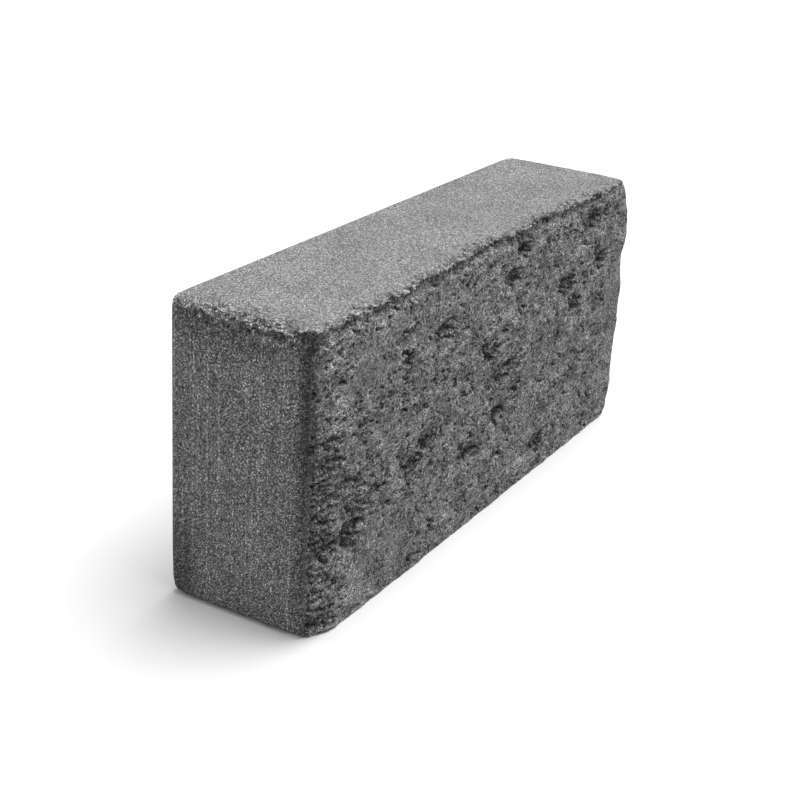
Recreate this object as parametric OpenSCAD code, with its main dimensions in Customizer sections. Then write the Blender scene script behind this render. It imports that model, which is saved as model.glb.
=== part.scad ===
// Solid split-face concrete block.
// It is cast in one piece in a mould and then split, so one long face is a fracture and the rest is moulded.
// The origin is the middle of the bottom bed face. X runs along the length, the split face looks to -Y
// and Z is up. The near end is at -X and the far end at +X.

/* [Block] */
// Length from end to end
block_l = 400; // [250:1:600]
// Thickness from the back face to the proudest point of the split face
block_t = 100; // [70:1:200]
// Height from the bottom bed face to the top bed face
block_h = 180; // [100:1:280]

/* [Moulded arrises] */
// Radius of the two upright arrises of the back face
upright_arris_r = 6; // [1:0.5:10]
// Radius of the top arris of the back face
back_top_r = 4; // [1:0.5:10]
// Radius of the bottom arris of the back face
back_bottom_r = 6.5; // [1:0.5:12]
// Radius of the top arris of each end
end_top_r = 6; // [1:0.5:12]
// Radius of the bottom arris of each end
end_bottom_r = 5; // [1:0.5:14]

/* [Fracture] */
// Depth of the broad swells of the fracture
swell_d = 2; // [0:0.5:10]
// Distance from one swell to the next
swell_size = 120; // [50:1:250]
// Depth of the shell-shaped hollows between ridges
shell_d = 2.5; // [0:0.5:8]
// Distance from one shell-shaped hollow to the next
shell_size = 44; // [20:1:100]
// Depth of the chips, which are small flat breaks with a step from one to the next
chip_d = 1.5; // [0:0.5:6]
// Distance from one chip to the next
chip_size = 15; // [10:1:40]
// How far the fracture bows back along the middle of the top arris
top_bow_d = 5.5; // [0:0.5:15]
// How far down the face that bow reaches
top_bow_h = 90; // [20:1:100]
// How much flatter the fracture runs out at the bottom and far arrises, as a share
run_out = 0.7; // [0:0.05:1]
// How far from these arrises it starts to run out
run_out_w = 30; // [5:1:80]
// Number of the fracture: every number splits another block
fracture_no = 7; // [1:1:99]

/* [Broken arrises] */
// How far along the near end the fracture breaks away at its arris
near_bite_t = 1.5; // [1:0.5:15]
// How deep that break goes into the near end
near_bite_d = 3; // [1:0.5:12]
// Distance from the proudest point back to the groove that the splitting blade leaves in the near end
blade_groove_y = 8; // [4:0.5:20]
// Width of that groove
blade_groove_w = 11; // [4:0.5:25]
// Depth of that groove
blade_groove_d = 3; // [0.5:0.5:8]
// How far along the far end the splitting blade has bitten
far_bite_t = 1; // [1:0.5:15]
// How deep that bite goes into the far end
far_bite_d = 3; // [1:0.5:12]
// How far the far arris wavers
far_waver_d = 4; // [0:0.5:12]
// How far along the face that waver reaches
far_waver_w = 45; // [10:1:90]
// Distance from one wave of the far arris to the next
far_waver_size = 24; // [10:1:60]
// Height above the bottom bed at which that waver is whole
far_waver_rise = 90; // [10:1:180]
// How far the face rounds back towards the near end
near_round_d = 2.5; // [0:0.5:10]
// How far that rounding reaches along the face
near_round_w = 18; // [5:1:40]
// How far the bottom arris is worn back
bottom_wear_d = 0.5; // [0:0.5:10]
// How far that wear reaches up the face
bottom_wear_h = 10; // [4:0.5:30]
// Radius that the top arris is worn to
top_round_r = 2.5; // [0.5:0.5:8]
// Size of the worn top corner at the far end
worn_corner_r = 14; // [5:1:40]
// Depth of that worn corner
worn_corner_d = 4.5; // [0:0.5:15]
// Depth of the groove that the splitting blade leaves under the top arris
groove_d = 2.5; // [0:0.5:8]
// Height of that groove
groove_h = 9; // [6:0.5:20]
// Size of the chunk that is missing at the bottom of the near arris
chunk_r = 26; // [10:1:60]
// Depth of that chunk
chunk_d = 4; // [0:0.5:12]

/* [Pulled lumps] */
// Depth of the hollows where lumps came away with the other half
lump_d = 3.5; // [0:0.5:8]
// How many times wider than high these hollows are
lump_slim = 1.8; // [1:0.1:3]
// Distance from one notch in the rim of a hollow to the next
lump_notch = 8; // [4:0.5:20]

/* [Facets] */
// Number of facets along the fracture
facets_l = 100; // [30:1:110]
// Number of facets up the fracture
facets_h = 48; // [16:1:55]

/* [Hidden] */
concrete = [0.42, 0.42, 0.42];
$fn = 64;
// How much closer the facets lie at the arrises than in the middle, from 0 to under 1
crowding = 0.3;
// How far the casting runs on past the proudest point, and how far the waste half runs past the casting
cast_on = 4;

// Where lumps came away: distance from the near end, height above the bottom bed and radius
lumps = [
    [8, 8, 11],
    [30, 52, 18],
    [101, 70, 16],
    [113, 79, 14],
    [137, 140, 17],
    [172, 51, 16],
    [194, 112, 18],
    [211, 64, 16],
    [212, 90, 20],
    [227, 150, 17],
    [240, 166, 16],
    [275, 20, 15],
    [304, 126, 17],
    [320, 110, 15],
    [341, 163, 16],
    [358, 132, 16]
];

// Hashed value from 0 to 1 at a lattice point of one layer of the fracture
scatter = [127.1, 311.7, 74.7, 19.3];
scatter_gain = 43758.5453;
function fract(v) = v - floor(v);
function hashed(i, j, layer) = fract(sin([i, j, layer, fracture_no] * scatter) * scatter_gain);

// Smooth noise from 0 to 1 between the lattice points
function mix(a, b, t) = a + (b - a) * t;
function ease(t) = t * t * (3 - 2 * t);
function noise(u, v, layer) =
    let (i = floor(u), j = floor(v), s = ease(u - i), t = ease(v - j))
    mix(
        mix(hashed(i, j, layer), hashed(i + 1, j, layer), s),
        mix(hashed(i, j + 1, layer), hashed(i + 1, j + 1, layer), s),
        t
    );

// Chips: every lattice cell has one, scattered within the cell, and a point belongs to the nearest
function chip_at(c) = c + [0.15 + 0.7 * hashed(c[0], c[1], 1), 0.15 + 0.7 * hashed(c[0], c[1], 2)];
function nearest_chip(p) =
    let (
        i = floor(p[0]),
        j = floor(p[1]),
        cells = [for (a = [i - 1 : i + 1]) for (b = [j - 1 : j + 1]) [a, b]],
        gaps = [for (c = cells) norm(p - chip_at(c))]
    )
    cells[search(min(gaps), gaps)[0]];

// A chip is a plane with a height and a tilt of its own, about 0 to 1
function chipped(p) =
    let (
        c = nearest_chip(p),
        tilt = [hashed(c[0], c[1], 3) - 0.5, hashed(c[0], c[1], 4) - 0.5]
    )
    0.2 + 0.6 * hashed(c[0], c[1], 5) + 1.4 * (p - chip_at(c)) * tilt;

// Falls from 1 at zero to 0 at the reach: a straight slope at power 1, hollower above it
function fall(d, reach, power) = pow(max(1 - d / reach, 0), power);

// A quarter circle that falls from 1 at zero to 0 at the radius
function rounded(d, r) = 1 - sqrt(1 - pow(min(max(1 - d / r, 0), 1), 2));

// Wanders by a third to either side of 1 along an arris
function wander(along, layer) = 0.67 + 0.66 * noise(along / (2 * chip_size), 0, layer);

// Recess of the open face, x from the near end and z from the bottom bed
function broken(x, z) =
    swell_d * noise(x / swell_size, z / swell_size, 6)
    + shell_d * abs(2 * noise(x / shell_size, z / shell_size, 7) - 1)
    + chip_d * chipped([x, z] / chip_size);
function running_out(x, z) = run_out * max(fall(z, run_out_w, 2), fall(block_l - x, run_out_w, 2));
function face_recess(x, z) =
    broken(x, z) * (1 - running_out(x, z))
    + top_bow_d * sin(180 * min(max(x / block_l, 0), 1)) * ease(fall(block_h - z, top_bow_h, 1));

// Waver of the far arris, which fades away towards the bottom bed
function far_waver(x, z) =
    far_waver_d * noise(z / far_waver_size, 0, 13)
    * fall(block_l - x, far_waver_w, 2)
    * (1 - fall(z, far_waver_rise, 1));

// Recess along the arrises, where the blades bit and the edges broke
function arris_recess(x, z) =
    near_bite_t * fall(x, near_bite_d * wander(z, 8), 1)
    + far_bite_t * fall(block_l - x, far_bite_d * wander(z, 9), 1)
    + far_waver(x, z)
    + near_round_d * fall(x, near_round_w, 2)
    + bottom_wear_d * fall(z, bottom_wear_h * wander(x, 10), 2)
    + groove_d * fall(abs(block_h - z - groove_h * wander(x, 11) / 2), groove_h / 2, 1)
    + top_round_r * rounded(block_h - z, top_round_r)
    + worn_corner_d * fall(norm([block_l - x, block_h - z]), worn_corner_r, 2)
    + chunk_d * ease(fall(norm([x, z]), chunk_r, 1));

// Recess of the hollows that the lumps left, which have a ragged rim
function lump_recess(x, z) =
    let (
        ragged = 0.7 + 0.6 * noise(x / lump_notch, z / lump_notch, 12),
        gaps = [for (lump = lumps) ragged * norm([x - lump[0], lump_slim * (z - lump[1])]) / lump[2]]
    )
    lump_d * ease(fall(min(gaps), 1, 1));
function recess(x, z) = face_recess(x, z) + arris_recess(x, z) + lump_recess(x, z);

// Places along a side, closer together at both arrises, with one row just outside each of them
function crowded(t) = t - crowding * sin(360 * t) / (2 * PI);
rows_x = [for (i = [0 : facets_l + 1]) block_l * crowded((i - 0.5) / facets_l)];
rows_z = [for (j = [0 : facets_h + 1]) block_h * crowded((j - 0.5) / facets_h)];
recesses = [for (z = rows_z) [for (x = rows_x) recess(x, z)]];
proudest = min([for (row = recesses) min(row)]);

// Corner that a rounding takes off, with its point at the origin and the stock in the first quadrant
module corner_waste(r) {
    difference() {
        translate([-r, -r])
            square(2 * r);
        translate([r, r])
            circle(r);
        translate([0, r])
            square([r, r]);
        translate([r, 0])
            square([r, r]);
    }
}

// Long side of the casting: length across, height up, all four corners rounded
module long_outline() {
    difference() {
        translate([-block_l / 2, 0])
            square([block_l, block_h]);
        for (side = [0, 1])
            mirror([side, 0]) {
                translate([-block_l / 2, 0])
                    corner_waste(end_bottom_r);
                translate([-block_l / 2, block_h])
                    mirror([0, 1])
                        corner_waste(end_top_r);
            }
    }
}

// A section through the back corners of the casting: the back is at zero and the stock runs forward
module back_outline(across, deep, r_first, r_last) {
    difference() {
        square([across, deep]);
        corner_waste(r_first);
        translate([across, 0])
            mirror([1, 0])
                corner_waste(r_last);
    }
}

// The casting as it leaves the mould, still running on past the line of the split
module casting() {
    deep = block_t + cast_on;
    intersection() {
        translate([0, block_t / 2, 0])
            rotate([90, 0, 0])
                linear_extrude(deep)
                    long_outline();
        translate([block_l / 2, block_t / 2, 0])
            rotate([0, 0, 180])
                linear_extrude(block_h)
                    back_outline(block_l, deep, upright_arris_r, upright_arris_r);
        translate([-block_l / 2, block_t / 2, 0])
            rotate([0, -90, 180])
                linear_extrude(block_l)
                    back_outline(block_h, deep, back_bottom_r, back_top_r);
    }
}

// The half that is split off: its back is the fracture and its front is a plane clear of the casting
module waste_half() {
    across = len(rows_x);
    up = len(rows_z);
    front = -block_t / 2 - 2 * cast_on;
    first = across * up;
    fracture = [
        for (j = [0 : up - 1]) for (i = [0 : across - 1])
            [rows_x[i] - block_l / 2, recesses[j][i] - proudest - block_t / 2, rows_z[j]]
    ];
    corners = [
        for (j = [0, up - 1]) for (i = [0, across - 1])
            [rows_x[i] - block_l / 2, front, rows_z[j]]
    ];
    fracture_faces = [
        for (j = [0 : up - 2]) for (i = [0 : across - 2])
            let (a = j * across + i, b = a + 1, c = b + across, d = a + across)
            each (i + j) % 2 == 0 ? [[a, b, c], [a, c, d]] : [[a, b, d], [b, c, d]]
    ];
    bottom_face = [first + 1, for (i = [across - 1 : -1 : 0]) i, first];
    top_face = [first + 2, for (i = [0 : across - 1]) (up - 1) * across + i, first + 3];
    near_face = [first, for (j = [0 : up - 1]) j * across, first + 2];
    far_face = [first + 3, for (j = [up - 1 : -1 : 0]) j * across + across - 1, first + 1];
    front_face = [first, first + 2, first + 3, first + 1];
    polyhedron(
        concat(fracture, corners),
        concat(fracture_faces, [bottom_face, top_face, near_face, far_face, front_face])
    );
}

// The groove of the blade in the near end: steep on the side of the fracture and shallow on the other
module blade_groove() {
    translate([-block_l / 2, blade_groove_y - block_t / 2, 0])
        linear_extrude(block_h)
            polygon([
                [-cast_on, 0],
                [0, 0],
                [blade_groove_d, blade_groove_w / 4],
                [0, blade_groove_w],
                [-cast_on, blade_groove_w]
            ]);
}

module split_face_block() {
    color(concrete)
        difference() {
            casting();
            waste_half();
            blade_groove();
        }
}

split_face_block();
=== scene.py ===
import math
import bpy
import numpy as np
from mathutils import Euler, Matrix, Quaternion, Vector, noise


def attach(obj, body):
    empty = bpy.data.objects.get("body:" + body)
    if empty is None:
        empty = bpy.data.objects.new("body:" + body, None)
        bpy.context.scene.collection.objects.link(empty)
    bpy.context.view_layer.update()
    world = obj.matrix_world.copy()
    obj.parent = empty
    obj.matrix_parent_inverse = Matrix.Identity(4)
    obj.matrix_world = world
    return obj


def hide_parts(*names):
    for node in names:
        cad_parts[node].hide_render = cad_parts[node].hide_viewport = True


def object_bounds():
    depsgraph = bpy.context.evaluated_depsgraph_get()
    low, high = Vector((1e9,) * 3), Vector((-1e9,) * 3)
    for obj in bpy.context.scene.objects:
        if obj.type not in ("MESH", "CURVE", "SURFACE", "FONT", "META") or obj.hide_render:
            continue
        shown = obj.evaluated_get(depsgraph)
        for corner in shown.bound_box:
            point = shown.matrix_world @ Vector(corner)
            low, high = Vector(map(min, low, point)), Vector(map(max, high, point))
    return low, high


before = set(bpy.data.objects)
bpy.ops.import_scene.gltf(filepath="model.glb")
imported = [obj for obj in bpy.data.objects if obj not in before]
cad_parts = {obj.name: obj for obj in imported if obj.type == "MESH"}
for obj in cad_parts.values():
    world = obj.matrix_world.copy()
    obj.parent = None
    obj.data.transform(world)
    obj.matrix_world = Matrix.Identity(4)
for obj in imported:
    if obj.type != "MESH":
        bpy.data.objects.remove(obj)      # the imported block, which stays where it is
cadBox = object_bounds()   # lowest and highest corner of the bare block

mm = 0.001
boxLow, boxHigh = [np.array(corner) / mm for corner in cadBox]  # the same two corners in mm
scene = bpy.context.scene
print("block loaded, box in mm", boxLow.round(1), boxHigh.round(1))


# small tools used all the way down

def deselectAll():
    bpy.ops.object.select_all(action="DESELECT")


def workOn(piece):
    deselectAll()
    piece.select_set(True)
    bpy.context.view_layer.objects.active = piece


def linear(hexColour):  # sRGB hex to the linear values that sockets want
    parts = [int(hexColour[i:i + 2], 16) / 255 for i in (1, 3, 5)]
    return [p / 12.92 if p <= 0.04045 else ((p + 0.055) / 1.055) ** 2.4 for p in parts] + [1]


def addNode(tree, kind, settings={}, inputs=()):  # inputs in order or by name: a node, a socket or a value
    node = tree.nodes.new("ShaderNode" + kind)
    for name, value in settings.items():
        setattr(node, name, value)
    for name, value in inputs.items() if isinstance(inputs, dict) else enumerate(inputs):
        if isinstance(value, bpy.types.Node):
            value = value.outputs[0]
        if isinstance(value, bpy.types.NodeSocket):
            tree.links.new(value, node.inputs[name])
        else:
            node.inputs[name].default_value = value
    return node


def easeUp(value, start, end):  # 0 at start, 1 at end, smooth between
    t = np.clip((value - start) / (end - start), 0, 1)
    return t * t * (3 - 2 * t)


def waver(x, z, wide, tall, seed):  # smooth noise on the split face, its forms so wide and tall in mm
    return noise.noise((x / wide, z / tall, seed))


# camera

cameraSet = {
    "place": (-0.7916, -0.4238, 0.4474),
    "heading": 29.16,  # degrees from +X towards +Y
    "tilt": 23.16,     # degrees down
    "roll": 3.51,
    "lens": 67.9,      # mm
    "sensor": 36,      # mm
}


def makeCamera():
    deselectAll()
    bpy.ops.object.camera_add(location=cameraSet["place"])
    camera = bpy.context.object
    camera.name = "camera"
    level = Euler((math.radians(90 - cameraSet["tilt"]), 0, math.radians(cameraSet["heading"] - 90)))
    roll = Quaternion((0, 0, 1), math.radians(cameraSet["roll"]))
    camera.rotation_mode = "QUATERNION"
    camera.rotation_quaternion = level.to_quaternion() @ roll
    camera.data.lens = cameraSet["lens"]
    camera.data.sensor_width = cameraSet["sensor"]
    scene.camera = camera
    print("camera placed")


# studio: pale floor, one wide soft lamp overhead, even sky

studioSet = {
    "floorSize": 40.0,
    "floorSeen": "#ededed",         # what the camera sees
    "floorBounce": "#8a8a8a",       # what lights the block from below
    "lampTo": (0.35, -0.20, 0.92),  # direction from the block to the lamp
    "lampSpread": 58,               # degrees across, which sets how soft the shadow is
    "lampStrength": 3.5,
    "skyStrength": 0.5,             # what lights the block
    "skySeen": 1.0,                 # what the camera sees
}


def makeStudio():
    deselectAll()
    bpy.ops.mesh.primitive_plane_add(size=studioSet["floorSize"])
    floor = bpy.context.object
    floor.name = "floor"
    paper = bpy.data.materials.new("palePaperFloor")  # matt paper, pale and without any shine
    paper.use_nodes = True
    tree = paper.node_tree
    either = {"operation": "MAXIMUM"}
    path = addNode(tree, "LightPath").outputs
    seen = addNode(tree, "Math", either, [path["Is Camera Ray"], path["Is Glossy Ray"]])
    seen = addNode(tree, "Math", either, [seen, path["Is Transmission Ray"]])
    tint = addNode(tree, "Mix", {"data_type": "RGBA"},
                   {0: seen, 6: linear(studioSet["floorBounce"]), 7: linear(studioSet["floorSeen"])})
    shader = tree.nodes["Principled BSDF"]
    tree.links.new(tint.outputs[2], shader.inputs["Base Color"])
    shader.inputs["Roughness"].default_value = 1
    shader.inputs["Specular IOR Level"].default_value = 0
    floor.data.materials.append(paper)

    deselectAll()
    bpy.ops.object.light_add(type="SUN", location=Vector(studioSet["lampTo"]) * 2)
    lamp = bpy.context.object
    lamp.name = "softLamp"
    lamp.rotation_euler = Vector(studioSet["lampTo"]).to_track_quat("Z", "Y").to_euler()
    lamp.data.angle = math.radians(studioSet["lampSpread"])
    lamp.data.energy = studioSet["lampStrength"]

    world = bpy.data.worlds.new("studioSky")
    scene.world = world
    world.use_nodes = True
    tree = world.node_tree
    path = addNode(tree, "LightPath").outputs
    seen = addNode(tree, "Math", either, [path["Is Camera Ray"], path["Is Transmission Ray"]])
    level = addNode(tree, "Mix", {"data_type": "FLOAT"},
                    {0: seen, 2: studioSet["skyStrength"], 3: studioSet["skySeen"]})
    sky = tree.nodes["Background"]
    sky.inputs["Color"].default_value = (1, 1, 1, 1)
    tree.links.new(level.outputs[0], sky.inputs["Strength"])
    print("studio lit")


# block: the CAD block with the finer break of the concrete on its fracture and arrises, sizes in mm

blockSet = {
    "node": "split_face_block",
    "weld": 0.01,
    "voxel": 1.0,                # mesh size before it is thinned
    "triangles": 192000,

    # where it is broken
    "fractureDepth": 22,         # how far behind the front the fracture may lie
    "mouldedEdge": 0.3,          # nearer than this to a bed or an end it is moulded
    "bladeGroove": (3.6, 7.6),   # from the near end and the front, the groove that the blade pressed
    "fadeRounds": 5,             # how many edges the fracture fades over on the moulded sides
    "meltRounds": 7,             # smoothing rounds that melt the facets of the CAD fracture
    "lipReach": (2, 9),          # crumbling round an arris: full up to here, none past there
    "nearTopReach": (6, 15),
    "footReach": (5, 11),
    "lipFade": (70, 15, 0.7),    # from the far end: where it starts to fade, where it ends, how much goes
    "nearTopFade": (15, 45, 0.6),
    "nearTopStop": (44, 49),
    "nearFootShare": 0.3,
    "farTopShare": 0.12,
    "edgeStep": 4,
    "bedSkin": 0.4,              # a point this near to the top counts as on the bed

    # worn corners: which corner of the box, and how far the wear reaches
    "wornRounds": 60,
    "wornCorners": (
        ((0, 1, 1), 8), ((0, 0, 1), 9), ((1, 1, 1), 16), ((1, 0, 1), 22),
        ((1, 0, 0), 12), ((0, 0, 0), 30), ((0, 1, 0), 26),
    ),

    # relief, coarse to fine: size and height of its forms, where plus is into the block along Y and out of it
    # along the normal
    "relief": (
        {"name": "hackle", "kind": "MUSGRAVE", "size": 16, "height": 1.1, "middle": 0, "along": "Y",
         "group": "fracture",
         "settings": {"musgrave_type": "FBM", "octaves": 6, "dimension_max": 0.8, "lacunarity": 2.1}},
        {"name": "stones", "kind": "VORONOI", "size": 4.6, "height": 0.9, "middle": 0.5, "along": "Y",
         "group": "fracture", "settings": {}},
        {"name": "sand", "kind": "CLOUDS", "size": 2.2, "height": -0.8, "middle": 0.3, "along": "Y",
         "group": "fracture", "settings": {"noise_depth": 2, "noise_type": "HARD_NOISE"}},
        {"name": "brokenEdge", "kind": "CLOUDS", "size": 6.0, "height": -1.8, "middle": 0, "along": "NORMAL",
         "group": "arris", "ramp": (0.4, 0.7), "settings": {"noise_depth": 2}},
        {"name": "crumbs", "kind": "VORONOI", "size": 3.6, "height": -2.6, "middle": 0, "along": "NORMAL",
         "group": "arris", "settings": {}},
    ),

    # lip: the top arris stands over the split face
    "lip": 1.8,
    "lipHeight": 8.5,
    "lipStart": (5, 24),         # from the near end, none and full
    "lipEnd": (45, 20),          # from the far end, full and none
    "rimTop": (0.5, 2.5),        # the shade under the lip, below the top
    "rimFade": (60, 15, 0.6),
    "lipShade": 0.25,

    # pits of pulled grains, small and large: how wide and tall, and how deep
    "pitSizes": ((4.4, 2.4), (8.0, 4.0)),
    "pitDepth": 2.6,
    "pitBegin": 0.42,            # a higher value leaves fewer pits
    "pitStep": 0.1,              # the large ones are fewer by this
    "pitEdge": 0.18,             # how soft their edges are
    "strewnSizes": ((24, 10), (11, 5)),
    "strewnShare": 0.8,
    "clusterDepth": 1.2,         # how much deeper they are in a cluster
    "clusterShade": 0.5,         # how dark a cluster is between its pits
    "clusterSlim": 1.8,          # a cluster is this many times wider than high

    # x, z and radius of the clusters, which are where the CAD block has its hollows
    "pitClusters": (
        (-192, 8, 11), (-170, 52, 18), (-99, 70, 16), (-87, 79, 14), (-63, 140, 17), (-28, 51, 16),
        (-6, 112, 18), (11, 64, 16), (12, 90, 20), (27, 150, 17), (40, 166, 16), (75, 20, 15),
        (104, 126, 17), (120, 110, 15), (141, 163, 16), (158, 132, 16),
    ),

    # x, z and radius of the patches where the paste broke smooth, in layers and in crumbs
    "calmPatches": (
        (190, 100, 26), (194, 60, 22), (186, 30, 20), (-120, 22, 26), (-150, 20, 20), (60, 45, 16), (-150, 150, 20),
    ),
    "calmShare": 0.65,           # how much of the relief is gone there
    "layerPatches": ((-185, 90, 26), (-165, 72, 20), (-190, 60, 18)),
    "ledgeSize": (16, 4),
    "ledgeDepth": 1.6,
    "crumbPatches": (
        (-196, 12, 22), (-195, 34, 18), (-195, 56, 16), (-192, 78, 16), (-186, 98, 18), (-160, 62, 18),
    ),
    "crumbSizes": ((3.2, 1.9), (6.5, 3.4)),
    "crumbDepth": 1.9,

    # cracks: x and z of both ends
    "cracks": (
        (-191, 107.5, -170, 101), (-170, 87.5, -153, 81), (-188, 84, -178, 82), (-196, 72, -184, 69),
        (-163, 60, -150, 56),
    ),
    "crackDepth": 3.0,
    "crackHeight": 2.2,

    # bake map
    "mapMargin": 6.0,
    "mapReach": 12,              # a point this much further from a side needs to face it that much more
}


def splitFaceBlock():
    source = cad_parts[blockSet["node"]]
    deselectAll()
    block = bpy.data.objects.new("splitFaceBlock", source.data.copy())
    scene.collection.objects.link(block)
    block.data.materials.clear()
    workOn(block)
    bpy.ops.object.mode_set(mode="EDIT")
    bpy.ops.mesh.select_all(action="SELECT")
    bpy.ops.mesh.remove_doubles(threshold=blockSet["weld"] * mm)
    bpy.ops.object.mode_set(mode="OBJECT")
    block.data.remesh_voxel_size = blockSet["voxel"] * mm
    bpy.ops.object.voxel_remesh()
    print("remeshed", len(block.data.polygons), "faces")

    markBreaks(block)
    for rounds, group in (("meltRounds", "fracture"), ("wornRounds", "worn")):
        addModifier(block, "SMOOTH", {"iterations": blockSet[rounds], "factor": 0.5, "vertex_group": group})
    for layer in blockSet["relief"]:
        displace(block, layer)
    breakFace(block)
    keepInBox(block)
    ratio = blockSet["triangles"] / (2 * len(block.data.polygons))
    if ratio < 1:
        addModifier(block, "DECIMATE", {"ratio": ratio})
    keepInBox(block)
    mapSides(block)
    paintRelief(block)
    bpy.ops.object.shade_smooth()
    print("block has", sum(len(p.vertices) - 2 for p in block.data.polygons), "triangles")
    block.data.materials.append(concrete())
    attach(block, "root")
    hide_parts(blockSet["node"])


def addModifier(piece, kind, settings):
    workOn(piece)
    bpy.ops.object.modifier_add(type=kind)
    modifier = piece.modifiers[-1]
    for name, value in settings.items():
        setattr(modifier, name, value)
    bpy.ops.object.modifier_apply(modifier=modifier.name)


def displace(piece, layer):
    texture = bpy.data.textures.new(layer["name"], layer["kind"])
    texture.noise_scale = layer["size"] * mm
    for name, value in layer["settings"].items():
        setattr(texture, name, value)
    if "ramp" in layer:
        texture.use_color_ramp = True
        dark, pale = texture.color_ramp.elements
        dark.position, pale.position = layer["ramp"]
        dark.color, pale.color = (0, 0, 0, 1), (1, 1, 1, 1)
    addModifier(piece, "DISPLACE", {
        "texture": texture, "texture_coords": "LOCAL", "direction": layer["along"], "mid_level": layer["middle"],
        "strength": layer["height"] * mm, "vertex_group": layer["group"]})


def placesOf(piece):  # vertex places in mm
    flat = np.empty(len(piece.data.vertices) * 3, np.float32)
    piece.data.vertices.foreach_get("co", flat)
    return flat.reshape(-1, 3) / mm


def setPlaces(piece, places):
    piece.data.vertices.foreach_set("co", (places * mm).astype(np.float32).ravel())
    piece.data.update()


def keepInBox(piece):  # nothing stands proud of the CAD block
    setPlaces(piece, np.clip(placesOf(piece), boxLow, boxHigh))


def paintGroup(piece, name, weights):
    group = piece.vertex_groups.new(name=name)
    for index in np.flatnonzero(weights > 0.001):
        group.add([int(index)], float(weights[index]), "REPLACE")


def groupWeights(piece, name):
    weights = np.zeros(len(piece.data.vertices))
    number = piece.vertex_groups[name].index
    for vertex in piece.data.vertices:
        for group in vertex.groups:
            if group.group == number:
                weights[vertex.index] = group.weight
    return weights


def nearSpots(places, spots, slim=1):  # 1 in the middle of a spot on the split face, 0 away from all
    near = np.zeros(len(places))
    for x, z, radius in spots:
        away = np.hypot(places[:, 0] - x, slim * (places[:, 2] - z))
        near = np.maximum(near, 1 - easeUp(away, radius * 0.3, radius * 1.1))
    return near


def markBreaks(block):  # vertex groups for the fracture, the crumbling arrises and the worn corners
    places = placesOf(block)
    x, y, z = places.T
    fromNear, fromFar, fromFoot, fromTop = x - boxLow[0], boxHigh[0] - x, z - boxLow[2], boxHigh[2] - z
    fromSides = np.min([fromNear, fromFar, fromFoot, fromTop], axis=0)
    grooveWidth, grooveBack = blockSet["bladeGroove"]
    groove = (x < boxLow[0] + grooveWidth) & (y > boxLow[1] + grooveBack)
    broken = (y < boxLow[1] + blockSet["fractureDepth"]) & (fromSides > blockSet["mouldedEdge"]) & ~groove
    calm = 1 - blockSet["calmShare"] * nearSpots(places, blockSet["calmPatches"])
    paintGroup(block, "fracture", broken * calm)
    workOn(block)
    bpy.ops.object.mode_set(mode="EDIT")
    bpy.ops.mesh.select_all(action="SELECT")
    bpy.ops.object.vertex_group_smooth(group_select_mode="ALL", factor=0.5, repeat=blockSet["fadeRounds"])
    bpy.ops.object.mode_set(mode="OBJECT")

    # front edge of the top bed, in steps along the length
    onBed = z > boxHigh[2] - blockSet["bedSkin"]
    step = (fromNear / blockSet["edgeStep"]).astype(int)
    edge = np.full(step.max() + 1, boxLow[1])
    for n in range(len(edge)):
        if (onBed & (step == n)).any():
            edge[n] = y[onBed & (step == n)].min()

    fadeStart, fadeEnd, fadeShare = blockSet["lipFade"]
    lip = 1 - easeUp(np.hypot(y - edge[step], z - boxHigh[2]), *blockSet["lipReach"])
    lip *= 1 - fadeShare * easeUp(x, boxHigh[0] - fadeStart, boxHigh[0] - fadeEnd)
    fadeStart, fadeEnd, fadeShare = blockSet["nearTopFade"]
    nearTop = 1 - easeUp(np.maximum(fromNear, fromTop), *blockSet["nearTopReach"])
    nearTop *= 1 - fadeShare * easeUp(y, fadeStart, fadeEnd)
    nearTop *= 1 - easeUp(y, *blockSet["nearTopStop"])
    nearFoot = 1 - easeUp(np.maximum(fromNear, fromFoot), *blockSet["footReach"])
    farTop = 1 - easeUp(np.maximum(fromFar, fromTop), *blockSet["footReach"])
    arrises = [lip, nearTop, blockSet["nearFootShare"] * nearFoot, blockSet["farTopShare"] * farTop]
    paintGroup(block, "arris", np.max(arrises, axis=0))

    worn = np.zeros(len(places))
    for corner, reach in blockSet["wornCorners"]:
        away = np.linalg.norm(places - np.where(corner, boxHigh, boxLow), axis=1)
        worn = np.maximum(worn, 1 - easeUp(away, 0.4 * reach, 1.2 * reach))
    paintGroup(block, "worn", worn)
    print("breaks marked,", int(broken.sum()), "points on the fracture")


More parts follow.
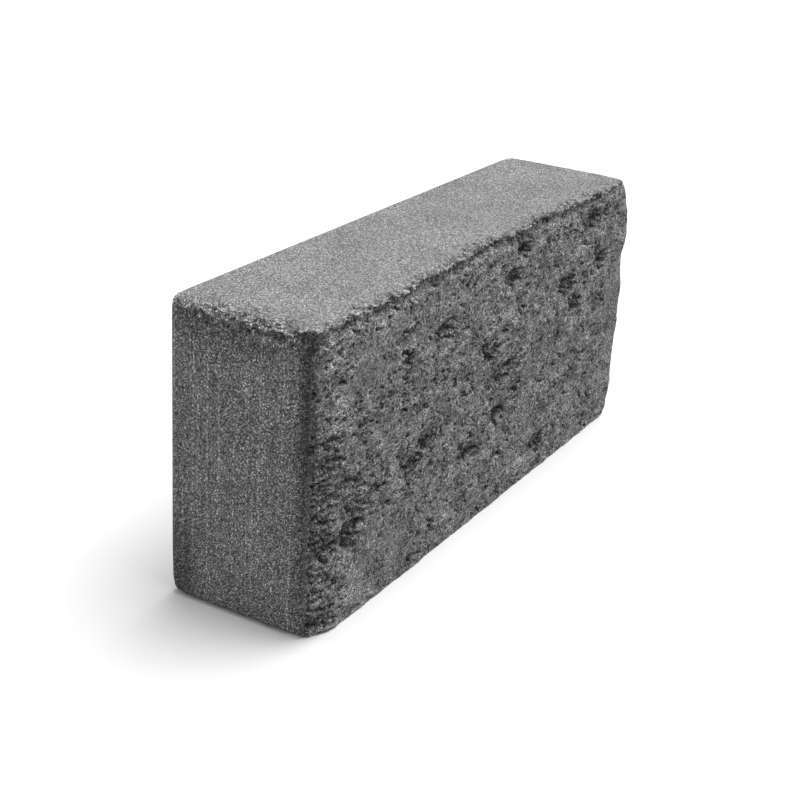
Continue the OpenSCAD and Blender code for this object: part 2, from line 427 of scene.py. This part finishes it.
def breakFace(block):  # lip, pits, crumbs, ledges and cracks of the split face, worked point by point
    places = placesOf(block)
    weights = groupWeights(block, "fracture")
    clusters = nearSpots(places, blockSet["pitClusters"], blockSet["clusterSlim"])
    calm = nearSpots(places, blockSet["calmPatches"])
    layers = nearSpots(places, blockSet["layerPatches"])
    crumbled = nearSpots(places, blockSet["crumbPatches"])
    lipNone, lipFull = [boxLow[0] + reach for reach in blockSet["lipStart"]]
    lipLast, lipGone = [boxHigh[0] - reach for reach in blockSet["lipEnd"]]
    rimStart, rimEnd, rimShare = blockSet["rimFade"]
    (strewnWide, strewnTall), (fineWide, fineTall) = blockSet["strewnSizes"]
    hollow = np.zeros(len(places))
    for n in np.flatnonzero(weights > 0.02):
        x, _, z = places[n]
        down = boxHigh[2] - z
        lipTall = blockSet["lipHeight"] + 4 * waver(x, 0, 11, 1, 8)
        lip = blockSet["lip"] * (1 + 0.5 * waver(x, 0, 14, 1, 5)) * easeUp(x, lipNone, lipFull)
        lip *= (1 - easeUp(x, lipLast, lipGone)) * (1 - easeUp(down, 1.5, lipTall))

        # pits: many in a cluster, some strewn about, few where it is calm or close under the top
        u, v = x + 2.0 * waver(x, z, 4, 3, 1), z + 1.2 * waver(x, z, 4, 3, 2)  # ragged edges
        strewn = waver(x, z, strewnWide, strewnTall, 20) + 0.5 * waver(x, z, fineWide, fineTall, 21)
        strewn = blockSet["strewnShare"] * easeUp(strewn, 0.2, 0.6) * (1 - calm[n])
        ragged = max(clusters[n] ** 0.7, strewn, 0.4 * crumbled[n]) * (1 + 0.8 * waver(x, z, 9, 5, 12))
        begin = blockSet["pitBegin"] - (0.38 + 0.12 * clusters[n]) * ragged + 0.4 * calm[n]
        begin += 0.5 * (1 - easeUp(down, 3, 9))
        depth = 0
        for number, (wide, tall) in enumerate(blockSet["pitSizes"]):
            pits = waver(u, v, wide, tall, 3 + number) + 0.5 * waver(2.1 * u, 2.1 * v, wide, tall, 14 + number)
            start = begin + blockSet["pitStep"] * number
            depth = max(depth, easeUp(pits, start, start + blockSet["pitEdge"]))
        depth *= blockSet["pitDepth"] + blockSet["clusterDepth"] * clusters[n]

        if crumbled[n] > 0:
            (wide, tall), (bigWide, bigTall) = blockSet["crumbSizes"]
            bits = waver(u, v, wide, tall, 30) + 0.5 * waver(u, v, bigWide, bigTall, 31)
            depth = max(depth, blockSet["crumbDepth"] * crumbled[n] * easeUp(bits, -0.1, 0.3))
        if layers[n] > 0:
            depth += blockSet["ledgeDepth"] * layers[n] * (1 - abs(waver(u, v, *blockSet["ledgeSize"], 6))) ** 3
        for x0, z0, x1, z1 in blockSet["cracks"]:
            t = (x - x0) / (x1 - x0)
            if -0.1 < t < 1.1:
                off = abs(v - z0 - t * (z1 - z0) - 1.5 * waver(x, z0, 6, 1, 7))
                crackTall = blockSet["crackHeight"] * (1 + 0.9 * waver(x, z0, 4, 1, 11))
                crack = (1 - easeUp(off, 0.2, crackTall)) * easeUp(min(t, 1 - t), -0.1, 0.2)
                depth += blockSet["crackDepth"] * crack
        places[n, 1] += weights[n] * (depth - lip)

        rim = easeUp(down, *blockSet["rimTop"]) * (1 - easeUp(down, 3, lipTall + 3))
        rim *= 1 - rimShare * easeUp(x, boxHigh[0] - rimStart, boxHigh[0] - rimEnd)
        shade = blockSet["clusterShade"] * ragged + blockSet["lipShade"] * rim
        # painted shade: deeper pits, the clusters between them and the band under the lip are painted darker through
        # this weight
        hollow[n] = weights[n] * (depth / blockSet["pitDepth"] + shade)
    setPlaces(block, places)
    paintGroup(block, "hollow", np.clip(hollow, 0, 1))
    print("face broken")


def paintRelief(block):  # colour for the material: red 0.5 on flat ground and less in a hollow, for painted shade in hollows and painted highlight on ridges, green pits, for painted shade in the pits and under the lip, blue crumbs
    mesh = block.data
    count = len(mesh.vertices)
    ends = np.empty(len(mesh.edges) * 2, np.int32)
    mesh.edges.foreach_get("vertices", ends)
    first, second = ends.reshape(-1, 2).T
    normals = np.empty(count * 3, np.float32)
    mesh.vertex_normals.foreach_get("vector", normals)
    normals = normals.reshape(-1, 3)
    places = placesOf(block)
    way = places[second] - places[first]
    way /= np.linalg.norm(way, axis=1, keepdims=True) + 1e-9
    valence = np.bincount(ends, minlength=count)
    rise = np.bincount(first, (way * normals[first]).sum(axis=1), count)
    rise -= np.bincount(second, (way * normals[second]).sum(axis=1), count)
    rise /= valence
    for turn in range(2):  # soften
        around = np.bincount(first, rise[second], count) + np.bincount(second, rise[first], count)
        rise = 0.5 * rise + 0.5 * around / valence
    pits, crumbs = groupWeights(block, "hollow"), groupWeights(block, "arris")
    colours = np.stack([0.5 - 0.5 * rise, pits, crumbs, np.ones(count)], axis=1)
    relief = mesh.color_attributes.new("relief", "FLOAT_COLOR", "POINT")
    relief.data.foreach_set("color", colours.astype(np.float32).ravel())
    print("relief painted, mean rise", round(float(np.abs(rise).mean()), 3))


def mapSides(block):  # each side of the block flat on its own part of the bake map
    mesh = block.data
    mesh.uv_layers.new(name="OFBake")
    count = len(mesh.polygons)
    centres, normals = np.empty(count * 3, np.float32), np.empty(count * 3, np.float32)
    mesh.polygons.foreach_get("center", centres)
    mesh.polygons.foreach_get("normal", normals)
    centres, normals = centres.reshape(-1, 3) / mm, normals.reshape(-1, 3)
    gaps = np.concatenate([centres - boxLow, boxHigh - centres], axis=1)
    side = (np.concatenate([-normals, normals], axis=1) - gaps / blockSet["mapReach"]).argmax(axis=1)

    margin = blockSet["mapMargin"]
    long, thick, tall = boxHigh - boxLow
    bedRow = 2 * (tall + margin)
    corners = {  # lower left corner of every side on the map, in mm: ends 0 and 3, faces 1 and 4, beds 2 and 5
        1: (0, 0), 4: (0, tall + margin), 2: (0, bedRow), 5: (0, bedRow + thick + margin),
        0: (long + margin, 0), 3: (long + margin, tall + margin)}
    axes = ((1, 2), (0, 2), (0, 1))  # which way is across and up on a side
    whole = max(long + thick + margin, 2 * (tall + thick) + 3 * margin)
    totals = np.empty(count, np.int32)
    mesh.polygons.foreach_get("loop_total", totals)
    loopSide = np.repeat(side, totals)
    vertex = np.empty(len(mesh.loops), np.int32)
    mesh.loops.foreach_get("vertex_index", vertex)
    local = placesOf(block)[vertex] - boxLow
    uv = np.zeros((len(vertex), 2))
    for number, corner in corners.items():
        chosen = loopSide == number
        uv[chosen] = local[chosen][:, axes[number % 3]] + corner
    uv = (uv + margin / 2) / (whole + margin)
    mesh.uv_layers["OFBake"].uv.foreach_set("vector", uv.astype(np.float32).ravel())
    print("sides mapped")


# dense grey concrete, cast in a steel mould and split: matt, cement grey paste with pale and dark sand, smoother on
# the pressed beds, dragged lines on the ends, dark pores and painted shade in the pits of the split face, painted shade
# in hollows and holes, painted highlight on ridges

concreteSet = {
    "paste": "#717171",
    "roughness": 0.92,
    "shine": 0.3,
    "bump": 0.6,                        # mm

    # noise in the paste: size in mm, detail and roughness
    "noises": {
        "sand": (0.38, 3, 0.75),
        "chips": (2.0, 2, 0.6),
        "mottle": (11, 2, 0.6),
        "stain": (16, 3, 0.6),
        "cloud": (38, 4, 0.6),
        "drag": (1.3, 0, 0.6),
    },
    "dragStretch": (1, 1, 0.006),       # what the mould dragged is long and upright
    "cells": {"grit": 0.62, "speck": 1.6, "pinhole": 9},  # mm from grain to grain

    # parts that are blended: the first one, and shares of others that are added to it
    "blends": {
        "speckDark": ("speckTone", {"pits": 0.4}),
        "chipLow": ("chips", {"mottle": 0.6, "pits": -0.05}),
    },

    # masks, what is multiplied: a part, or a part with where it begins, where it is full and the least it gives
    "masks": {
        "bed": [("lying", 0.6, 0.95)],
        "endSide": [("endways", 0.9, 0.98)],
        "splitSide": [("backward", -0.15, -0.5)],
        "plainSide": [("plainward", 0.6, 0.95)],                    # back and far end
        "nearEnd": [("x", -194, -197)],
        # dark band along the blade groove: partly a pressed film, partly painted shade in the groove
        "grooveFilmAndShade": [("y", -46, -43), ("y", -31, -40), "nearEnd", ("z", 70, 110, 0.5)],  # the film that the blade pressed, with painted shade deepening the blade groove
        "underRim": [("z", 156, 171), "endSide", "nearEnd"],
        "smear": [("y", 26, 38), ("z", 66, 30), "nearEnd", ("stain", 0.25, 0.55)],
        "dragLine": [("drag", 0.62, 0.70), "endSide"],
        "plainDrag": ["dragLine", "plainSide"],
        # painted shade in the pinholes, which the bump also sinks
        "hole": [("pinhole", 0.10, 0.06)],
        "mottled": ["mottle", "splitSide"],
        # dark pores and painted shade in the pits of the split face
        "pitted": ["pits", "splitSide"],
        # painted shade in the small chips of the split face, which the bump also sinks
        "chipped": [("chipLow", 0.675, 0.635), "splitSide"],
        "speckShape": [("speck", 0.34, 0.18)],
        # painted shade of holes too fine for the mesh, more of them in the pits
        "darkSpeck": ["speckShape", ("speckDark", 0.25, 0.6), "splitSide"],
        "pitSpeck": ["darkSpeck", "pitted"],
        "paleSpeck": ["speckShape", ("speckRare", 0.95, 0.98)],
    },

    # tone in stops of light, and one stop doubles the brightness
    "grain": {"gritTone": 3.5, "sand": 15.5},
    "show": 1.05,                       # how much of the grain shows, and how much less on some sides
    "showLess": {"bed": -0.33, "splitSide": -0.24, "plainSide": -0.4},
    "shadeAndHighlight": (5.0, 1.2, -1.1, 0.7),     # painted shade in hollows and painted highlight on ridges, more so on crumbs, with the limits
    "base": -0.45,
    "tones": {
        "dragLine": 0.6, "plainDrag": -0.4, "underRim": -0.9, "smear": -0.95, "grooveFilmAndShade": -1.1, "hole": -1.5,
        "bed": 0.22, "plainSide": 0.2, "splitSide": -0.8, "mottled": 2.0, "cloud": 0.9, "shadeAndHighlight": 1.0,
        "darkSpeck": -3.0, "pitSpeck": -0.9, "paleSpeck": 1.1, "pitted": -0.7, "chipped": -1.9,
    },
    "heights": {"grit": -0.5, "hole": -0.8, "chipped": -0.6},  # what the bump adds to the sand
}


def concrete():
    material = bpy.data.materials.new("denseGreyConcrete")
    material.use_nodes = True
    tree = material.node_tree
    times, blend, size = [{"operation": name} for name in ("MULTIPLY", "MULTIPLY_ADD", "ABSOLUTE")]
    soft = {"interpolation_type": "SMOOTHSTEP"}

    # what can be measured at a point: place in mm, direction that it faces, and the painted relief
    coords = addNode(tree, "TexCoord").outputs
    spot = addNode(tree, "VectorMath", {"operation": "SCALE"}, {0: coords["Object"], "Scale": 1 / mm})
    place = addNode(tree, "SeparateXYZ", {}, [spot]).outputs
    facing = addNode(tree, "SeparateXYZ", {}, [coords["Normal"]]).outputs
    painted = addNode(tree, "VertexColor", {"layer_name": "relief"})
    relief = addNode(tree, "SeparateColor", {}, [painted]).outputs
    parts = {
        "x": place[0], "y": place[1], "z": place[2], "pits": relief[1], "backward": facing[1],
        "endways": addNode(tree, "Math", size, [facing[0]]),
        "lying": addNode(tree, "Math", size, [facing[2]]),
        "plainward": addNode(tree, "Math", {"operation": "MAXIMUM"}, [facing[0], facing[1]]),
    }

    # sand, grit and stains
    stretched = addNode(tree, "VectorMath", times, [spot, concreteSet["dragStretch"]])
    for name, (grain, detail, rough) in concreteSet["noises"].items():
        parts[name] = addNode(tree, "TexNoise", {}, {
            "Vector": stretched if name == "drag" else spot, "Scale": 1 / grain, "Detail": detail, "Roughness": rough})
    for name, grain in concreteSet["cells"].items():
        parts[name] = addNode(tree, "TexVoronoi", {}, {"Vector": spot, "Scale": 1 / grain})
    parts["gritTone"] = addNode(tree, "SeparateColor", {}, [parts["grit"].outputs["Color"]])
    parts["speckTone"] = addNode(tree, "SeparateColor", {}, [parts["speck"].outputs["Color"]])
    parts["speckRare"] = parts["speckTone"].outputs[1]
    for name, (first, shares) in concreteSet["blends"].items():
        parts[name] = parts[first]
        for other, share in shares.items():
            parts[name] = addNode(tree, "Math", blend, [parts[other], share, parts[name]])
    for name, factors in concreteSet["masks"].items():
        for factor in factors:
            if isinstance(factor, str):
                step = parts[factor]
            else:
                step = addNode(tree, "MapRange", soft, [parts[factor[0]], *factor[1:]])
            parts[name] = addNode(tree, "Math", times, [parts[name], step]) if name in parts else step

    # painted shade in the hollows and painted highlight on the ridges, from the red of the relief colour, stronger on
    # the crumbs
    bend, crumbBend, darkest, palest = concreteSet["shadeAndHighlight"]
    shadeAndHighlight = addNode(tree, "Math", blend, [relief[0], bend, -bend / 2])
    crumbs = addNode(tree, "Math", blend, [relief[2], crumbBend, 1])
    shadeAndHighlight = addNode(tree, "Math", times, [shadeAndHighlight, crumbs])
    parts["shadeAndHighlight"] = addNode(tree, "Clamp", {}, [shadeAndHighlight, darkest, palest])

    # tone: the grain, as far as it shows, and then what every part adds
    show = concreteSet["show"]
    for name, amount in concreteSet["showLess"].items():
        show = addNode(tree, "Math", blend, [parts[name], amount, show])
    stops = -sum(concreteSet["grain"].values()) / 2  # a middle grain changes nothing
    for name, amount in concreteSet["grain"].items():
        stops = addNode(tree, "Math", blend, [parts[name], amount, stops])
    stops = addNode(tree, "Math", blend, [stops, show, concreteSet["base"]])
    for name, amount in concreteSet["tones"].items():
        stops = addNode(tree, "Math", blend, [parts[name], amount, stops])
    tone = addNode(tree, "Math", {"operation": "POWER"}, [2, stops])
    colour = addNode(tree, "VectorMath", {"operation": "SCALE"},
                     {0: linear(concreteSet["paste"])[:3], "Scale": tone})

    height = parts["sand"]
    for name, amount in concreteSet["heights"].items():
        height = addNode(tree, "Math", blend, [parts[name], amount, height])
    bump = addNode(tree, "Bump", {}, {"Height": height, "Strength": 1, "Distance": concreteSet["bump"] * mm})

    shader = tree.nodes["Principled BSDF"]
    tree.links.new(colour.outputs[0], shader.inputs["Base Color"])
    tree.links.new(bump.outputs[0], shader.inputs["Normal"])
    shader.inputs["Roughness"].default_value = concreteSet["roughness"]
    shader.inputs["Specular IOR Level"].default_value = concreteSet["shine"]
    print("concrete mixed,", len(tree.nodes), "nodes")
    return material


scene.view_settings.view_transform = "Standard"
makeCamera()
makeStudio()
splitFaceBlock()
print("block dressed")
